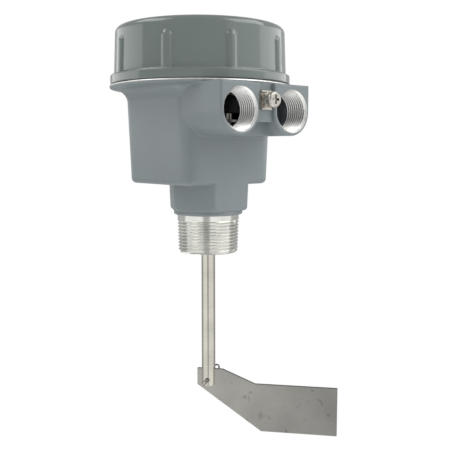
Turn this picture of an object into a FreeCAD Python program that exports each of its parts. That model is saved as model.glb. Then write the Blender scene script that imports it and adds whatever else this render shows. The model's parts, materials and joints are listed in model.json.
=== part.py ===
import FreeCAD
import Part
import math
import os

# Rotary paddle level switch for bins and hoppers.
# A geared motor on a sprung carrier turns a paddle through a slip clutch. Material that stops the
# paddle makes the carrier swivel, and its trip pin works two snap switches.
# Millimetres. Z is the shaft axis, up towards the lid. Z = 0 is the shoulder above the process
# thread, and the conduit entries face -Y.

V = FreeCAD.Vector
UP = V(0, 0, 1)
CENTRE = V(0, 0, 0)

# Process connection: 1-1/4 inch taper pipe thread under a short plain band
THREAD_R = 21.08
THREAD_PITCH = 25.4 / 11.5
THREAD_TAPER = 1 / 32
THREAD_DEPTH = 1.2
THREAD_CREST = 0.36
THREAD_ROOT = 0.26
PLAIN_BAND = 3.4
BUSHING_END_Z = -26.0
BUSHING_END_CHAMFER = 1.1
SPIGOT_R = 19.0

# Shaft, paddle and split pin
SHAFT_R = 9.525 / 2
SHAFT_END_Z = -121.4
SHAFT_END_CHAMFER = 0.8
SHAFT_TOP_Z = 44.0
PADDLE_THICK = 1.6
PADDLE_TOP_Z = -109.6
PADDLE_BOTTOM_Z = -153.1
PADDLE_HEADING_DEG = -49.5
PADDLE_CORNER_R = 0.4
TAB_LEFT_X = -8.0
TAB_RIGHT_X = 10.1
TAB_BOTTOM_Z = -121.4
BLADE_TOP_Z = -119.1
BLADE_TOP_X = 33.1
BLADE_BOTTOM_X = 37.6
BLADE_END_X = 90.2
PIN_HOLE_R = 1.6
PIN_HOLE_Z = -117.0
PIN_R = 1.3
PIN_LEG_R = 0.6
PIN_BEND_R = 1.4
PIN_LEG_REACH = 3.6
PIN_EYE_R = 1.7
PIN_EYE_REACH = 6.4
PIN_EYE_LEAN_DEG = 36.0

# Body casting
LID_AXIS_Y = 8.3
RIM_R = 61.4
RIM_BOTTOM_Z = 84.5
RIM_EDGE_R = 0.9
DECK_Z = 86.9
BOX_BOTTOM_Z = 20.8
BOX_HALF_X = 36.8
BOX_BACK_Y = 48.7
BOX_FRONT_Y = -25.0
BOX_CORNER_R = 10.8
BOX_BOTTOM_FILLET = 3.5
FLARE_R = 8.8
DRAFT = math.tan(math.radians(2.3))
BOX_SIZE_Z = 50.0
NECK_SIZE_Z = 10.0
WALL = 4.0
FLOOR_Z = 25.0

# Hex neck: 50 mm across flats, with a turned collar under it
NECK_FLAT = 25.0
NECK_EDGE_R = 3.2
NECK_CHAMFER = 2.5
NECK_CHAMFER_HEIGHT = 3.2
NECK_FOOT_R = 1.0
COLLAR_R = 23.6
COLLAR_TOP_Z = 3.2
COLLAR_EDGE_R = 1.4

# Conduit block: two 3/4 inch pipe entries side by side
CONDUIT_X = 21.5
CONDUIT_Z = 68.0
CONDUIT_FACE_Y = -59.0
CONDUIT_BORE_R = 12.9
CONDUIT_MOUTH_R = 13.65
CONDUIT_DEPTH = 17.0
BOSS_R = 15.4
BLOCK_TOP_Z = 84.8
BLOCK_EDGE_R = 1.4
BLOCK_ROOT_R = 1.2
PAD_FACE_Y = -56.0
PAD_BOTTOM_Z = 61.0
WEB_FACE_Y = -48.0
WIRE_WAY_HALF = 12.0
WIRE_WAY_DEPTH = 2.2
WIRE_WAY_BOTTOM_Z = 65.3
WIRE_WAY_TOP_Z = 71.1

# Lid and its screw collar
LID_GAP = 0.3
LID_FLANGE_R = 60.9
LID_FLANGE_TOP_Z = 93.4
LID_SIDE_R = 58.3
LID_TOP_R = 57.1
LID_TOP_Z = 125.0
LID_TOP_EDGE_R = 4.2
LID_WALL = 4.3
LID_RIB_COUNT = 9
LID_RIB_R = 4.0
LID_RIB_STAND = 1.9
LID_RIB_TOP_Z = 113.0
LID_RIB_START_DEG = 11.5
SCREW_COLLAR_R = 52.0
SCREW_COLLAR_BORE_R = 48.5
SCREW_COLLAR_TOP_Z = 97.5
LID_THREAD_R = 53.8
LID_THREAD_TOP_Z = 99.0
SEAL_WIRE_R = 1.5
SEAL_INNER_R = 52.4
SEAL_POCKET_R = 56.0

# Bearings (3/8 x 7/8 x 9/32 inch), lip seal and circlips
BEARING_OUTER_R = 22.225 / 2
BEARING_WIDTH = 7.142
RUNNING_GAP = 0.04
UPPER_BEARING_Z = 17.5
LOWER_BEARING_TOP_Z = -11.5
BUSHING_MID_R = 8.5
SEAL_TOP_Z = -20.6
SEAL_HEIGHT = 5.0
CIRCLIP_THICK = 1.0
CIRCLIP_R = 7.0
CIRCLIP_GROOVE_R = 4.25
CIRCLIP_GAP = 0.4

# Chassis plate and the tube that the motor carrier swivels on
CHASSIS_Z = 43.5
CHASSIS_THICK = 3.0
CHASSIS_TOP_Z = CHASSIS_Z + CHASSIS_THICK
CHASSIS_GAP = 0.8
TUBE_BORE_R = 9.4
TUBE_R = 12.0
TUBE_FOOT_R = 13.6
TUBE_FOOT_Z = 51.0
TUBE_TOP_Z = 66.0
PILLAR_R = 4.5
PILLAR_X = 28.5
PILLAR_BACK_Y = 32.5
PILLAR_FRONT_Y = -16.5
STUD_R = 2.0
STUD_DEPTH = 10.0

# Motor carrier
CARRIER_Z = 61.5
CARRIER_THICK = 2.0
CARRIER_R = 26.5
CARRIER_COLLAR_R = 14.0
CARRIER_CLIP_R = 14.5
GEARBOX_Z = 67.5
GEARBOX_TOP_Z = 79.0
GEARBOX_R = 27.0
CAN_TOP_Z = 97.0
CAN_R = 24.5
MOTOR_SCREW_RING_R = 21.5
MOTOR_SCREW_R = 1.5
MOTOR_SCREW_COUNT = 2
MOTOR_SCREW_START_DEG = 268.0
MOTOR_SCREW_BITE = 4.5
MOTOR_SCREW_HEAD_R = 2.8
MOTOR_SCREW_HEAD_HEIGHT = 1.6

# Slip clutch and motor output
HUB_R = 8.5
HUB_Z = 36.0
HUB_TOP_Z = 50.0
CLUTCH_DISC_THICK = 1.5
DRIVER_THICK = 2.5
OUTPUT_R = 3.0
SPRING_COLLAR_R = 6.5
SPRING_COLLAR_Z = 61.0
SPRING_COLLAR_HEIGHT = 3.5
CLUTCH_SPRING_WIRE_R = 0.5
CLUTCH_SPRING_TURNS = 3

# Trip pin and snap switches
TRIP_PIN_R = 1.5
TRIP_PIN_RING_R = 23.6
TRIP_PIN_DEG = 99.0
STOP_R = 2.0
STOP_GAP = 0.1
SWITCH_LENGTH = 20.0
SWITCH_WIDTH = 10.2
SWITCH_THICK = 6.4
SWITCH_FACE_X = -9.8
SWITCH_END_Y = 11.6
LEVER_PIVOT_X = -9.1
LEVER_PIVOT_Y = 13.0
LEVER_TILT_DEG = 18.0
LEVER_LENGTH = 15.0
LEVER_THICK = 0.5
LEVER_HEIGHT = 4.0
LEVER_PIN_R = 0.5
LUG_THICK = 0.6
PLUNGER_R = 1.2
PLUNGER_Y = 18.5
PLUNGER_TIP_X = -7.85
PLUNGER_LENGTH = 3.6
PLUNGER_HOLE_DEPTH = 3.6
SWITCH_SCREW_R = 1.1
SWITCH_SCREW_INSET = 5.2

# Return spring between a post on the chassis and a post on the carrier
FIXED_POST_X = 23.0
FIXED_POST_Y = -12.0
CARRIER_POST_RING_R = 24.0
CARRIER_POST_DEG = 30.0
POST_R = 1.5
RETURN_SPRING_Z = 56.0
RETURN_SPRING_R = 2.4
RETURN_SPRING_WIRE_R = 0.45
RETURN_SPRING_TURNS = 8
RETURN_SPRING_HOOK = 4.0

# Terminal board over the motor
BOARD_Z = 101.0
BOARD_THICK = 2.0
BOARD_R = 43.0
BOARD_FRONT_Y = -22.0
STANDOFF_FLAT = 2.75
TERMINAL_COUNT = 6
TERMINAL_PITCH = 9.5
TERMINAL_DEPTH = 18.0
TERMINAL_HEIGHT = 11.0
TERMINAL_Y = -2.5
TERMINAL_SCREW_R = 2.0

# Ground screws
GROUND_SCREW_R = 2.5
GROUND_SCREW_BITE = 5.1
GROUND_HOLE_DEPTH = 9.0
GROUND_HEAD_R = 5.0
GROUND_HEAD_HEIGHT = 2.6
GROUND_Z = 74.2
CLAMP_WIDTH = 8.4
CLAMP_HEIGHT = 11.6
CLAMP_THICK = 1.0
CLAMP_FLANGE = 2.5
GROUND_BACKED_OFF = 3.0
FLAT_WASHER_R = 4.7
FLAT_WASHER_THICK = 1.2
LOCK_WASHER_R = 4.3
LOCK_WASHER_THICK = 2.6
INNER_GROUND_Y = -35.0
INNER_GROUND_Z = CONDUIT_Z - BOSS_R + WALL + 2


# Basic forms

def cylinder(radius, low, high, x=0.0, y=0.0):
    return Part.makeCylinder(radius, high - low, V(x, y, low))


def tube(outer, inner, low, high, x=0.0, y=0.0):
    return cylinder(outer, low, high, x, y).cut(cylinder(inner, low - 1, high + 1, x, y))


def on_ring(radius, degrees):
    angle = math.radians(degrees)
    return radius * math.cos(angle), radius * math.sin(angle)


def outline(corners, place):
    """Closed wire through (u, v, radius) corners, each rounded by its own radius."""
    count = len(corners)
    entries, exits, middles = [], [], []
    for i, (u, v, radius) in enumerate(corners):
        here = V(u, v, 0)
        back = V(*corners[i - 1][:2], 0) - here
        ahead = V(*corners[(i + 1) % count][:2], 0) - here
        back.normalize()
        ahead.normalize()
        if radius == 0:
            entries.append(here)
            exits.append(here)
            middles.append(None)
            continue
        half = back.getAngle(ahead) / 2
        reach = radius / math.tan(half)
        entries.append(here + back * reach)
        exits.append(here + ahead * reach)
        bisector = back + ahead
        bisector.normalize()
        middles.append(here + bisector * (radius / math.sin(half) - radius))
    edges = []
    for i in range(count):
        if middles[i]:
            ends = [place(p.x, p.y) for p in (entries[i], middles[i], exits[i])]
            edges.append(Part.Arc(*ends).toShape())
        start = exits[i]
        end = entries[(i + 1) % count]
        if (end - start).Length > 1e-6:
            edges.append(Part.LineSegment(place(start.x, start.y), place(end.x, end.y)).toShape())
    return Part.Wire(edges)


def turned(corners, x=0.0, y=0.0):
    """Solid of revolution about a vertical axis, from (r, z, radius) corners."""
    wire = outline(corners, lambda r, z: V(x + r, y, z))
    return Part.Face(wire).revolve(V(x, y, 0), UP, 360)


def plan(corners, low, high):
    """Prism standing on a plan outline of (x, y, radius) corners."""
    wire = outline(corners, lambda x, y: V(x, y, low))
    return Part.Face(wire).extrude(V(0, 0, high - low))


def elevation(corners, front, back):
    """Prism along Y from an outline of (x, z, radius) corners."""
    wire = outline(corners, lambda x, z: V(x, front, z))
    return Part.Face(wire).extrude(V(0, back - front, 0))


def rectangle(x0, x1, y0, y1, radius=0.0):
    return [(x0, y0, radius), (x1, y0, radius), (x1, y1, radius), (x0, y1, radius)]


def hexagon(flat, first_deg=0.0):
    corner = flat / math.cos(math.radians(30))
    return [on_ring(corner, first_deg + 60 * k) + (0,) for k in range(6)]


def moved_into_paddle(shape):
    """Turn a piece drawn with the paddle along +X to the paddle's heading."""
    return shape.rotate(CENTRE, UP, PADDLE_HEADING_DEG)


def group(solids):
    return Part.makeCompound(solids)


def pan_screw(shank_r, shank_length, head_r, head_height):
    """Pan head screw standing head up, with its head's underside at the origin."""
    head = turned([(0, 0, 0), (head_r, 0, 0), (head_r, head_height, head_height * 0.6), (0, head_height, 0)])
    recess_arm = Part.makeBox(head_r * 1.1, head_r * 0.26, head_height, V(-head_r * 0.55, -head_r * 0.13, 0))
    recess = recess_arm.fuse(recess_arm.rotated(CENTRE, UP, 90))
    recess.translate(V(0, 0, head_height * 0.5))
    shank = cylinder(shank_r, -shank_length, 0)
    return head.cut(recess).fuse(shank)


# Body casting

def box_outline(z, inset=0.0):
    """Plan outline of the drafted box at a height, or of its cavity when inset by the wall."""
    grow = (z - BOX_SIZE_Z) * DRAFT - inset
    front = BOX_FRONT_Y - (z - NECK_SIZE_Z) * DRAFT + inset
    half_x = BOX_HALF_X + grow
    return rectangle(-half_x, half_x, front, BOX_BACK_Y + grow, BOX_CORNER_R + grow)


def drafted_box(low, high, inset=0.0):
    sections = [outline(box_outline(z, inset), lambda x, y, z=z: V(x, y, z)) for z in (low, high)]
    return Part.makeLoft(sections, True, True)


def edges_at_height(shape, z):
    def level(edge):
        box = edge.BoundBox
        return abs(box.ZMin - z) < 1e-3 and abs(box.ZMax - z) < 1e-3
    return [edge for edge in shape.Edges if level(edge)]


def flared_box():
    """Box whose walls sweep out under the round rim."""
    box = drafted_box(BOX_BOTTOM_Z, RIM_BOTTOM_Z + 1)
    box = box.makeFillet(BOX_BOTTOM_FILLET, edges_at_height(box, BOX_BOTTOM_Z))
    rim = cylinder(RIM_R, RIM_BOTTOM_Z, DECK_Z, 0, LID_AXIS_Y)
    shape = box.fuse(rim).removeSplitter()
    under = edges_at_height(shape, RIM_BOTTOM_Z)
    flare = [edge for edge in under if edge.BoundBox.DiagonalLength < RIM_R * 2]
    shape = shape.makeFillet(FLARE_R, flare)
    lower_edge = [e for e in edges_at_height(shape, RIM_BOTTOM_Z) if e.BoundBox.XLength > RIM_R * 1.9]
    upper_edge = [e for e in edges_at_height(shape, DECK_Z) if e.BoundBox.XLength > RIM_R * 1.9]
    return shape.makeFillet(RIM_EDGE_R, lower_edge + upper_edge)


def boss_outline(x):
    """U-shaped front of one conduit boss."""
    return [
        (x - BOSS_R, BLOCK_TOP_Z, 0),
        (x - BOSS_R, CONDUIT_Z - BOSS_R, BOSS_R),
        (x + BOSS_R, CONDUIT_Z - BOSS_R, BOSS_R),
        (x + BOSS_R, BLOCK_TOP_Z, 0),
    ]


def conduit_block():
    """Twin conduit bosses, with the ground pad and a deeper web between them."""
    root_y = BOX_FRONT_Y + BOX_CORNER_R
    half = CONDUIT_X + BOSS_R
    low = CONDUIT_Z - BOSS_R
    profile = [(-half, BLOCK_TOP_Z, 0), (-half, low, BOSS_R), (half, low, BOSS_R), (half, BLOCK_TOP_Z, 0)]
    block = elevation(profile, WEB_FACE_Y, root_y)
    for x in (-CONDUIT_X, CONDUIT_X):
        boss = elevation(boss_outline(x), CONDUIT_FACE_Y, WEB_FACE_Y)
        front = [e for e in boss.Edges if abs(e.BoundBox.YMax - CONDUIT_FACE_Y) < 1e-3]
        block = block.fuse(boss.makeFillet(BLOCK_EDGE_R, front))
    gap = CONDUIT_X - BOSS_R
    pad = elevation(
        rectangle(-gap - 1, gap + 1, PAD_BOTTOM_Z, BLOCK_TOP_Z), PAD_FACE_Y, WEB_FACE_Y)
    return block.fuse(pad).removeSplitter()


def block_root(walls):
    """Edges where the conduit block runs into the box, below the flare."""
    def at_root(edge):
        box = edge.BoundBox
        near_front = box.YMin > BOX_FRONT_Y - 2 and box.YMax < BOX_FRONT_Y + BOX_CORNER_R - 1
        beside_entries = CONDUIT_Z - BOSS_R - 0.1 < box.ZMin < CONDUIT_Z + 0.1
        return near_front and beside_entries and box.ZMax < RIM_BOTTOM_Z - FLARE_R + 0.5
    return [edge for edge in walls.Edges if at_root(edge)]


def hex_neck():
    """Drafted hexagon with a cone-cut lower edge over the turned collar."""
    heights = (COLLAR_TOP_Z, FLOOR_Z)
    sections = []
    for z in heights:
        flat = NECK_FLAT + (z - NECK_SIZE_Z) * DRAFT
        sections.append(outline(hexagon(flat), lambda x, y, z=z: V(x, y, z)))
    neck = Part.makeLoft(sections, True, True)
    upright = [e for e in neck.Edges if e.BoundBox.ZLength > 1]
    neck = neck.makeFillet(NECK_EDGE_R, upright)
    corner = NECK_FLAT / math.cos(math.radians(30))
    clear = 1.0
    cone_top = COLLAR_TOP_Z + NECK_CHAMFER_HEIGHT * (1 + clear / NECK_CHAMFER)
    envelope = turned([
        (0, COLLAR_TOP_Z, 0),
        (corner - NECK_CHAMFER, COLLAR_TOP_Z, 0),
        (corner + clear, cone_top, 0),
        (corner + clear, FLOOR_Z, 0),
        (0, FLOOR_Z, 0),
    ])
    collar = turned([
        (0, 0, 0),
        (COLLAR_R, 0, COLLAR_EDGE_R),
        (COLLAR_R, COLLAR_TOP_Z + 1, 0),
        (0, COLLAR_TOP_Z + 1, 0),
    ])
    neck = neck.common(envelope)
    neck = neck.makeFillet(NECK_FOOT_R, edges_at_height(neck, COLLAR_TOP_Z))
    return neck.fuse(collar)


def conduit_bore(x):
    """Plain bore of the pipe thread, with its countersunk mouth."""
    lead = CONDUIT_MOUTH_R - CONDUIT_BORE_R
    bore = turned([
        (0, -1, 0),
        (CONDUIT_MOUTH_R + 1, -1, 0),
        (CONDUIT_BORE_R, lead, 0),
        (CONDUIT_BORE_R, CONDUIT_DEPTH + 1, 0),
        (0, CONDUIT_DEPTH + 1, 0),
    ])
    bore.rotate(CENTRE, V(1, 0, 0), -90)
    bore.translate(V(x, CONDUIT_FACE_Y, CONDUIT_Z))
    return bore


def wiring_chamber():
    """Hollow behind the conduit entries, open to the box, with a wire way between the entries."""
    half = CONDUIT_X + BOSS_R - WALL
    low = CONDUIT_Z - BOSS_R + WALL
    corner = BOSS_R - WALL
    profile = [(-half, BLOCK_TOP_Z - WALL, 3), (-half, low, corner), (half, low, corner),
               (half, BLOCK_TOP_Z - WALL, 3)]
    front = CONDUIT_FACE_Y + CONDUIT_DEPTH
    chamber = elevation(profile, front, BOX_FRONT_Y + WALL + 4)
    wire_way = rectangle(-WIRE_WAY_HALF, WIRE_WAY_HALF, WIRE_WAY_BOTTOM_Z, WIRE_WAY_TOP_Z)
    return chamber.fuse(elevation(wire_way, front - WIRE_WAY_DEPTH, front))


def pillar_places():
    return [(x, y) for x in (-PILLAR_X, PILLAR_X) for y in (PILLAR_FRONT_Y, PILLAR_BACK_Y)]


def housing_body():
    walls = flared_box().fuse(conduit_block()).removeSplitter()
    walls = walls.makeFillet(BLOCK_ROOT_R, block_root(walls))
    body = walls.fuse(hex_neck())
    screw_collar = turned([
        (0, DECK_Z - 1, 0),
        (SCREW_COLLAR_R, DECK_Z - 1, 0),
        (SCREW_COLLAR_R, SCREW_COLLAR_TOP_Z, 0.8),
        (0, SCREW_COLLAR_TOP_Z, 0),
    ], 0, LID_AXIS_Y)
    body = body.fuse(screw_collar).removeSplitter()
    cavity = drafted_box(FLOOR_Z, DECK_Z + 1, WALL)
    motor_opening = cylinder(GEARBOX_R + 1.5, BLOCK_TOP_Z - WALL - 1, DECK_Z + 1)
    collar_bore = cylinder(SCREW_COLLAR_BORE_R, DECK_Z, SCREW_COLLAR_TOP_Z + 1, 0, LID_AXIS_Y)
    neck_bore = cylinder(SPIGOT_R, -1, FLOOR_Z + 1)
    hollow = cavity.fuse([wiring_chamber(), motor_opening, collar_bore, neck_bore])
    body = body.cut(hollow)
    for x in (-CONDUIT_X, CONDUIT_X):
        body = body.cut(conduit_bore(x))
    for x, y in pillar_places():
        pillar = cylinder(PILLAR_R, FLOOR_Z - 1, CHASSIS_Z, x, y)
        stud_hole = cylinder(STUD_R, CHASSIS_Z - STUD_DEPTH, CHASSIS_Z + 1, x, y)
        body = body.fuse(pillar).cut(stud_hole)
    ground_boss = cylinder(5.0, INNER_GROUND_Z - 4, INNER_GROUND_Z, 0, INNER_GROUND_Y)
    body = body.fuse(ground_boss)
    body = body.cut(cylinder(STUD_R, INNER_GROUND_Z - 4.5, INNER_GROUND_Z + 1, 0, INNER_GROUND_Y))
    screw_hole = Part.makeCylinder(GROUND_SCREW_R, GROUND_HOLE_DEPTH, V(0, PAD_FACE_Y, GROUND_Z), V(0, 1, 0))
    return body.cut(screw_hole).removeSplitter()


# Process connection, bearings and shaft

def crest_radius(z):
    """Radius over the crests of the taper thread."""
    return THREAD_R + (z + PLAIN_BAND) * THREAD_TAPER


def thread_groove():
    """Helical groove that leaves the thread standing, from under the plain band out past the end."""
    low = BUSHING_END_Z - THREAD_PITCH
    half_mouth = (THREAD_PITCH - THREAD_CREST) / 2
    half_root = THREAD_ROOT / 2
    high = -PLAIN_BAND - half_mouth
    radius = crest_radius(low)
    clear = 0.4
    half_outer = half_mouth + (half_mouth - half_root) * clear / THREAD_DEPTH
    corners = [
        V(radius - THREAD_DEPTH, 0, low - half_root),
        V(radius - THREAD_DEPTH, 0, low + half_root),
        V(radius + clear, 0, low + half_outer),
        V(radius + clear, 0, low - half_outer),
    ]
    path = Part.makeHelix(THREAD_PITCH, high - low, radius, math.degrees(math.atan(THREAD_TAPER)))
    path.translate(V(0, 0, low))
    section = Part.makePolygon(corners + corners[:1])
    return Part.Wire(path.Edges).makePipeShell([section], True, True)


def process_bushing():
    """Threaded bushing pressed into the neck, bored for both bearings and the lip seal."""
    lower_seat = LOWER_BEARING_TOP_Z
    chamfer_top = BUSHING_END_Z + BUSHING_END_CHAMFER
    blank = turned([
        (BEARING_OUTER_R, BUSHING_END_Z, 0),
        (crest_radius(chamfer_top) - BUSHING_END_CHAMFER, BUSHING_END_Z, 0),
        (crest_radius(chamfer_top), chamfer_top, 0),
        (THREAD_R, -PLAIN_BAND, 0),
        (THREAD_R, 0, 0),
        (SPIGOT_R, 0, 0),
        (SPIGOT_R, FLOOR_Z, 0),
        (BEARING_OUTER_R, FLOOR_Z, 0),
        (BEARING_OUTER_R, UPPER_BEARING_Z, 0),
        (BUSHING_MID_R, UPPER_BEARING_Z, 0),
        (BUSHING_MID_R, lower_seat, 0),
        (BEARING_OUTER_R, lower_seat, 0),
    ])
    return blank.cut(thread_groove())


def ball_bearing(low):
    """Shielded bearing: both races with a shallow step where the shields sit."""
    inner = SHAFT_R + RUNNING_GAP
    inner_race = inner + 1.6
    outer_race = BEARING_OUTER_R - 1.5
    high = low + BEARING_WIDTH
    step = 0.5
    return turned([
        (inner, low, 0),
        (inner_race, low, 0),
        (inner_race, low + step, 0),
        (outer_race, low + step, 0),
        (outer_race, low, 0),
        (BEARING_OUTER_R, low, 0),
        (BEARING_OUTER_R, high, 0),
        (outer_race, high, 0),
        (outer_race, high - step, 0),
        (inner_race, high - step, 0),
        (inner_race, high, 0),
        (inner, high, 0),
    ])


def shaft_seal():
    """Lip seal: pressed ring, thin web and a lip that closes on the shaft."""
    low = SEAL_TOP_Z - SEAL_HEIGHT
    lip = SHAFT_R + RUNNING_GAP
    return turned([
        (lip, low, 0),
        (BEARING_OUTER_R, low, 0),
        (BEARING_OUTER_R, SEAL_TOP_Z, 0),
        (BEARING_OUTER_R - 2.0, SEAL_TOP_Z, 0),
        (BEARING_OUTER_R - 2.0, low + 1.8, 0),
        (lip + 2.0, low + 1.8, 0),
        (lip + 1.2, SEAL_TOP_Z - 1.0, 0),
        (lip, SEAL_TOP_Z - 1.6, 0),
    ])


def circlip(low):
    """Open ring that snaps into a shaft groove."""
    ring = tube(CIRCLIP_R, CIRCLIP_GROOVE_R, low, low + CIRCLIP_THICK)
    opening = Part.makeBox(CIRCLIP_R + 1, 3.0, CIRCLIP_THICK + 2, V(0, -1.5, low - 1))
    return ring.cut(opening)


def upper_circlip_z():
    return UPPER_BEARING_Z + BEARING_WIDTH + CIRCLIP_GAP


def lower_circlip_z():
    return LOWER_BEARING_TOP_Z - BEARING_WIDTH - CIRCLIP_GAP - CIRCLIP_THICK


def paddle_shaft():
    """Rod with circlip grooves, a drive flat at the top and a slot for the paddle below."""
    rod = turned([
        (0, SHAFT_END_Z, 0),
        (SHAFT_R, SHAFT_END_Z, SHAFT_END_CHAMFER),
        (SHAFT_R, SHAFT_TOP_Z, 0.5),
        (0, SHAFT_TOP_Z, 0),
    ])
    for low in (upper_circlip_z(), lower_circlip_z()):
        rod = rod.cut(tube(SHAFT_R + 1, CIRCLIP_GROOVE_R, low, low + CIRCLIP_THICK))
    flat = Part.makeBox(2 * SHAFT_R, 2, SHAFT_TOP_Z - HUB_Z, V(-SHAFT_R, -SHAFT_R - 1, HUB_Z))
    slot_corner = V(-2 * SHAFT_R, -PADDLE_THICK / 2, SHAFT_END_Z)
    slot = Part.makeBox(4 * SHAFT_R, PADDLE_THICK, PADDLE_TOP_Z - SHAFT_END_Z, slot_corner)
    rod = rod.cut(flat).cut(moved_into_paddle(slot))
    return rod.cut(moved_into_paddle(pin_hole()))


def pin_hole():
    return Part.makeCylinder(PIN_HOLE_R, 40, V(0, -20, PIN_HOLE_Z), V(0, 1, 0))


def paddle():
    """Boot-shaped sheet vane: a short tab in the slot and a broad blade to one side."""
    corners = [
        (TAB_LEFT_X, PADDLE_TOP_Z),
        (TAB_LEFT_X, TAB_BOTTOM_Z),
        (BLADE_BOTTOM_X, PADDLE_BOTTOM_Z),
        (BLADE_END_X, PADDLE_BOTTOM_Z),
        (BLADE_END_X, BLADE_TOP_Z),
        (BLADE_TOP_X, BLADE_TOP_Z),
        (TAB_RIGHT_X, PADDLE_TOP_Z),
    ]
    rounded = [(x, z, PADDLE_CORNER_R) for x, z in corners]
    sheet = elevation(rounded, -PADDLE_THICK / 2, PADDLE_THICK / 2)
    return moved_into_paddle(sheet.cut(pin_hole()))


def bent_wire(radius, start, corner, end, bend_r):
    """Round wire along two straight runs joined by a bend."""
    back = start - corner
    ahead = end - corner
    back.normalize()
    ahead.normalize()
    half = back.getAngle(ahead) / 2
    reach = bend_r / math.tan(half)
    bisector = back + ahead
    bisector.normalize()
    middle = corner + bisector * (bend_r / math.sin(half) - bend_r)
    path = Part.Wire([
        Part.LineSegment(start, corner + back * reach).toShape(),
        Part.Arc(corner + back * reach, middle, corner + ahead * reach).toShape(),
        Part.LineSegment(corner + ahead * reach, end).toShape(),
    ])
    section = Part.Wire(Part.makeCircle(radius, start, back))
    return path.makePipeShell([section], True, False)


def cotter_pin():
    """Split pin: its eye lies up along the back of the shaft, and its legs are bent over in front."""
    front_y = -SHAFT_R - PIN_BEND_R
    back_y = SHAFT_R + PIN_BEND_R
    lean = math.radians(PIN_EYE_LEAN_DEG)
    eye_run = V(math.sin(lean), 0, math.cos(lean)) * PIN_EYE_REACH
    bend = V(0, back_y, PIN_HOLE_Z)
    stem_end = V(0, front_y + PIN_BEND_R / 2, PIN_HOLE_Z)
    stem = bent_wire(PIN_R, stem_end, bend, bend + eye_run, PIN_BEND_R)
    eye_centre = bend + eye_run * (1 + PIN_EYE_R / PIN_EYE_REACH)
    pin = stem.fuse(Part.makeTorus(PIN_EYE_R, PIN_LEG_R, eye_centre, V(0, 1, 0)))
    for offset, degrees in ((1, 200), (-1, 232)):
        z = PIN_HOLE_Z + offset * (PIN_LEG_R + 0.03)
        turn = math.radians(degrees)
        corner = V(0, front_y - PIN_BEND_R / 2, z)
        tip = corner + V(math.cos(turn), 0, math.sin(turn)) * PIN_LEG_REACH
        pin = pin.fuse(bent_wire(PIN_LEG_R, V(0, 0, z), corner, tip, PIN_BEND_R))
    return moved_into_paddle(pin)


# Lid

def lid_rib(degrees):
    """Half-round grip rib with a domed top, leaning with the side's draft."""
    low = LID_FLANGE_TOP_Z - 1
    lean = (LID_SIDE_R - LID_TOP_R) / (LID_TOP_Z - LID_FLANGE_TOP_Z)
    foot = LID_SIDE_R + LID_RIB_STAND - LID_RIB_R
    head = foot - lean * (LID_RIB_TOP_Z - low)
    bar = Part.makeCylinder(LID_RIB_R, LID_RIB_TOP_Z - low, V(foot, 0, low))
    shear = FreeCAD.Matrix()
    shear.A13 = -lean
    shear.A14 = lean * low
    bar = bar.transformGeometry(shear)
    rib = bar.fuse(Part.makeSphere(LID_RIB_R, V(head, 0, LID_RIB_TOP_Z)))
    rib.rotate(CENTRE, UP, degrees)
    rib.translate(V(0, LID_AXIS_Y, 0))
    return rib


def housing_lid():
    """Screw cap: flange band, drafted side, rounded top edge, thread zone and seal pocket inside."""
    low = DECK_Z + LID_GAP
    seal_top = DECK_Z + 2 * SEAL_WIRE_R + LID_GAP
    inner_top = LID_TOP_Z - LID_WALL
    inner_r = LID_TOP_R - LID_WALL
    outer = turned([
        (0, low, 0),
        (LID_FLANGE_R, low, 0.6),
        (LID_FLANGE_R, LID_FLANGE_TOP_Z, 1.0),
        (LID_SIDE_R, LID_FLANGE_TOP_Z, 0.8),
        (LID_TOP_R, LID_TOP_Z, LID_TOP_EDGE_R),
        (0, LID_TOP_Z, 0),
    ], 0, LID_AXIS_Y)
    hollow = turned([
        (0, low - 1, 0),
        (SEAL_POCKET_R, low - 1, 0),
        (SEAL_POCKET_R, seal_top, 0),
        (LID_THREAD_R, seal_top, 0),
        (LID_THREAD_R, LID_THREAD_TOP_Z, 0),
        (inner_r, LID_THREAD_TOP_Z + 1.5, 0),
        (inner_r, inner_top, 3.0),
        (0, inner_top, 0),
    ], 0, LID_AXIS_Y)
    step = 360 / LID_RIB_COUNT
    ribs = [lid_rib(LID_RIB_START_DEG + step * k) for k in range(LID_RIB_COUNT)]
    return outer.fuse(ribs).cut(hollow).removeSplitter()


def lid_seal():
    ring = SEAL_INNER_R + SEAL_WIRE_R
    return Part.makeTorus(ring, SEAL_WIRE_R, V(0, LID_AXIS_Y, DECK_Z + SEAL_WIRE_R), UP)


# Chassis and motor carrier

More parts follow.
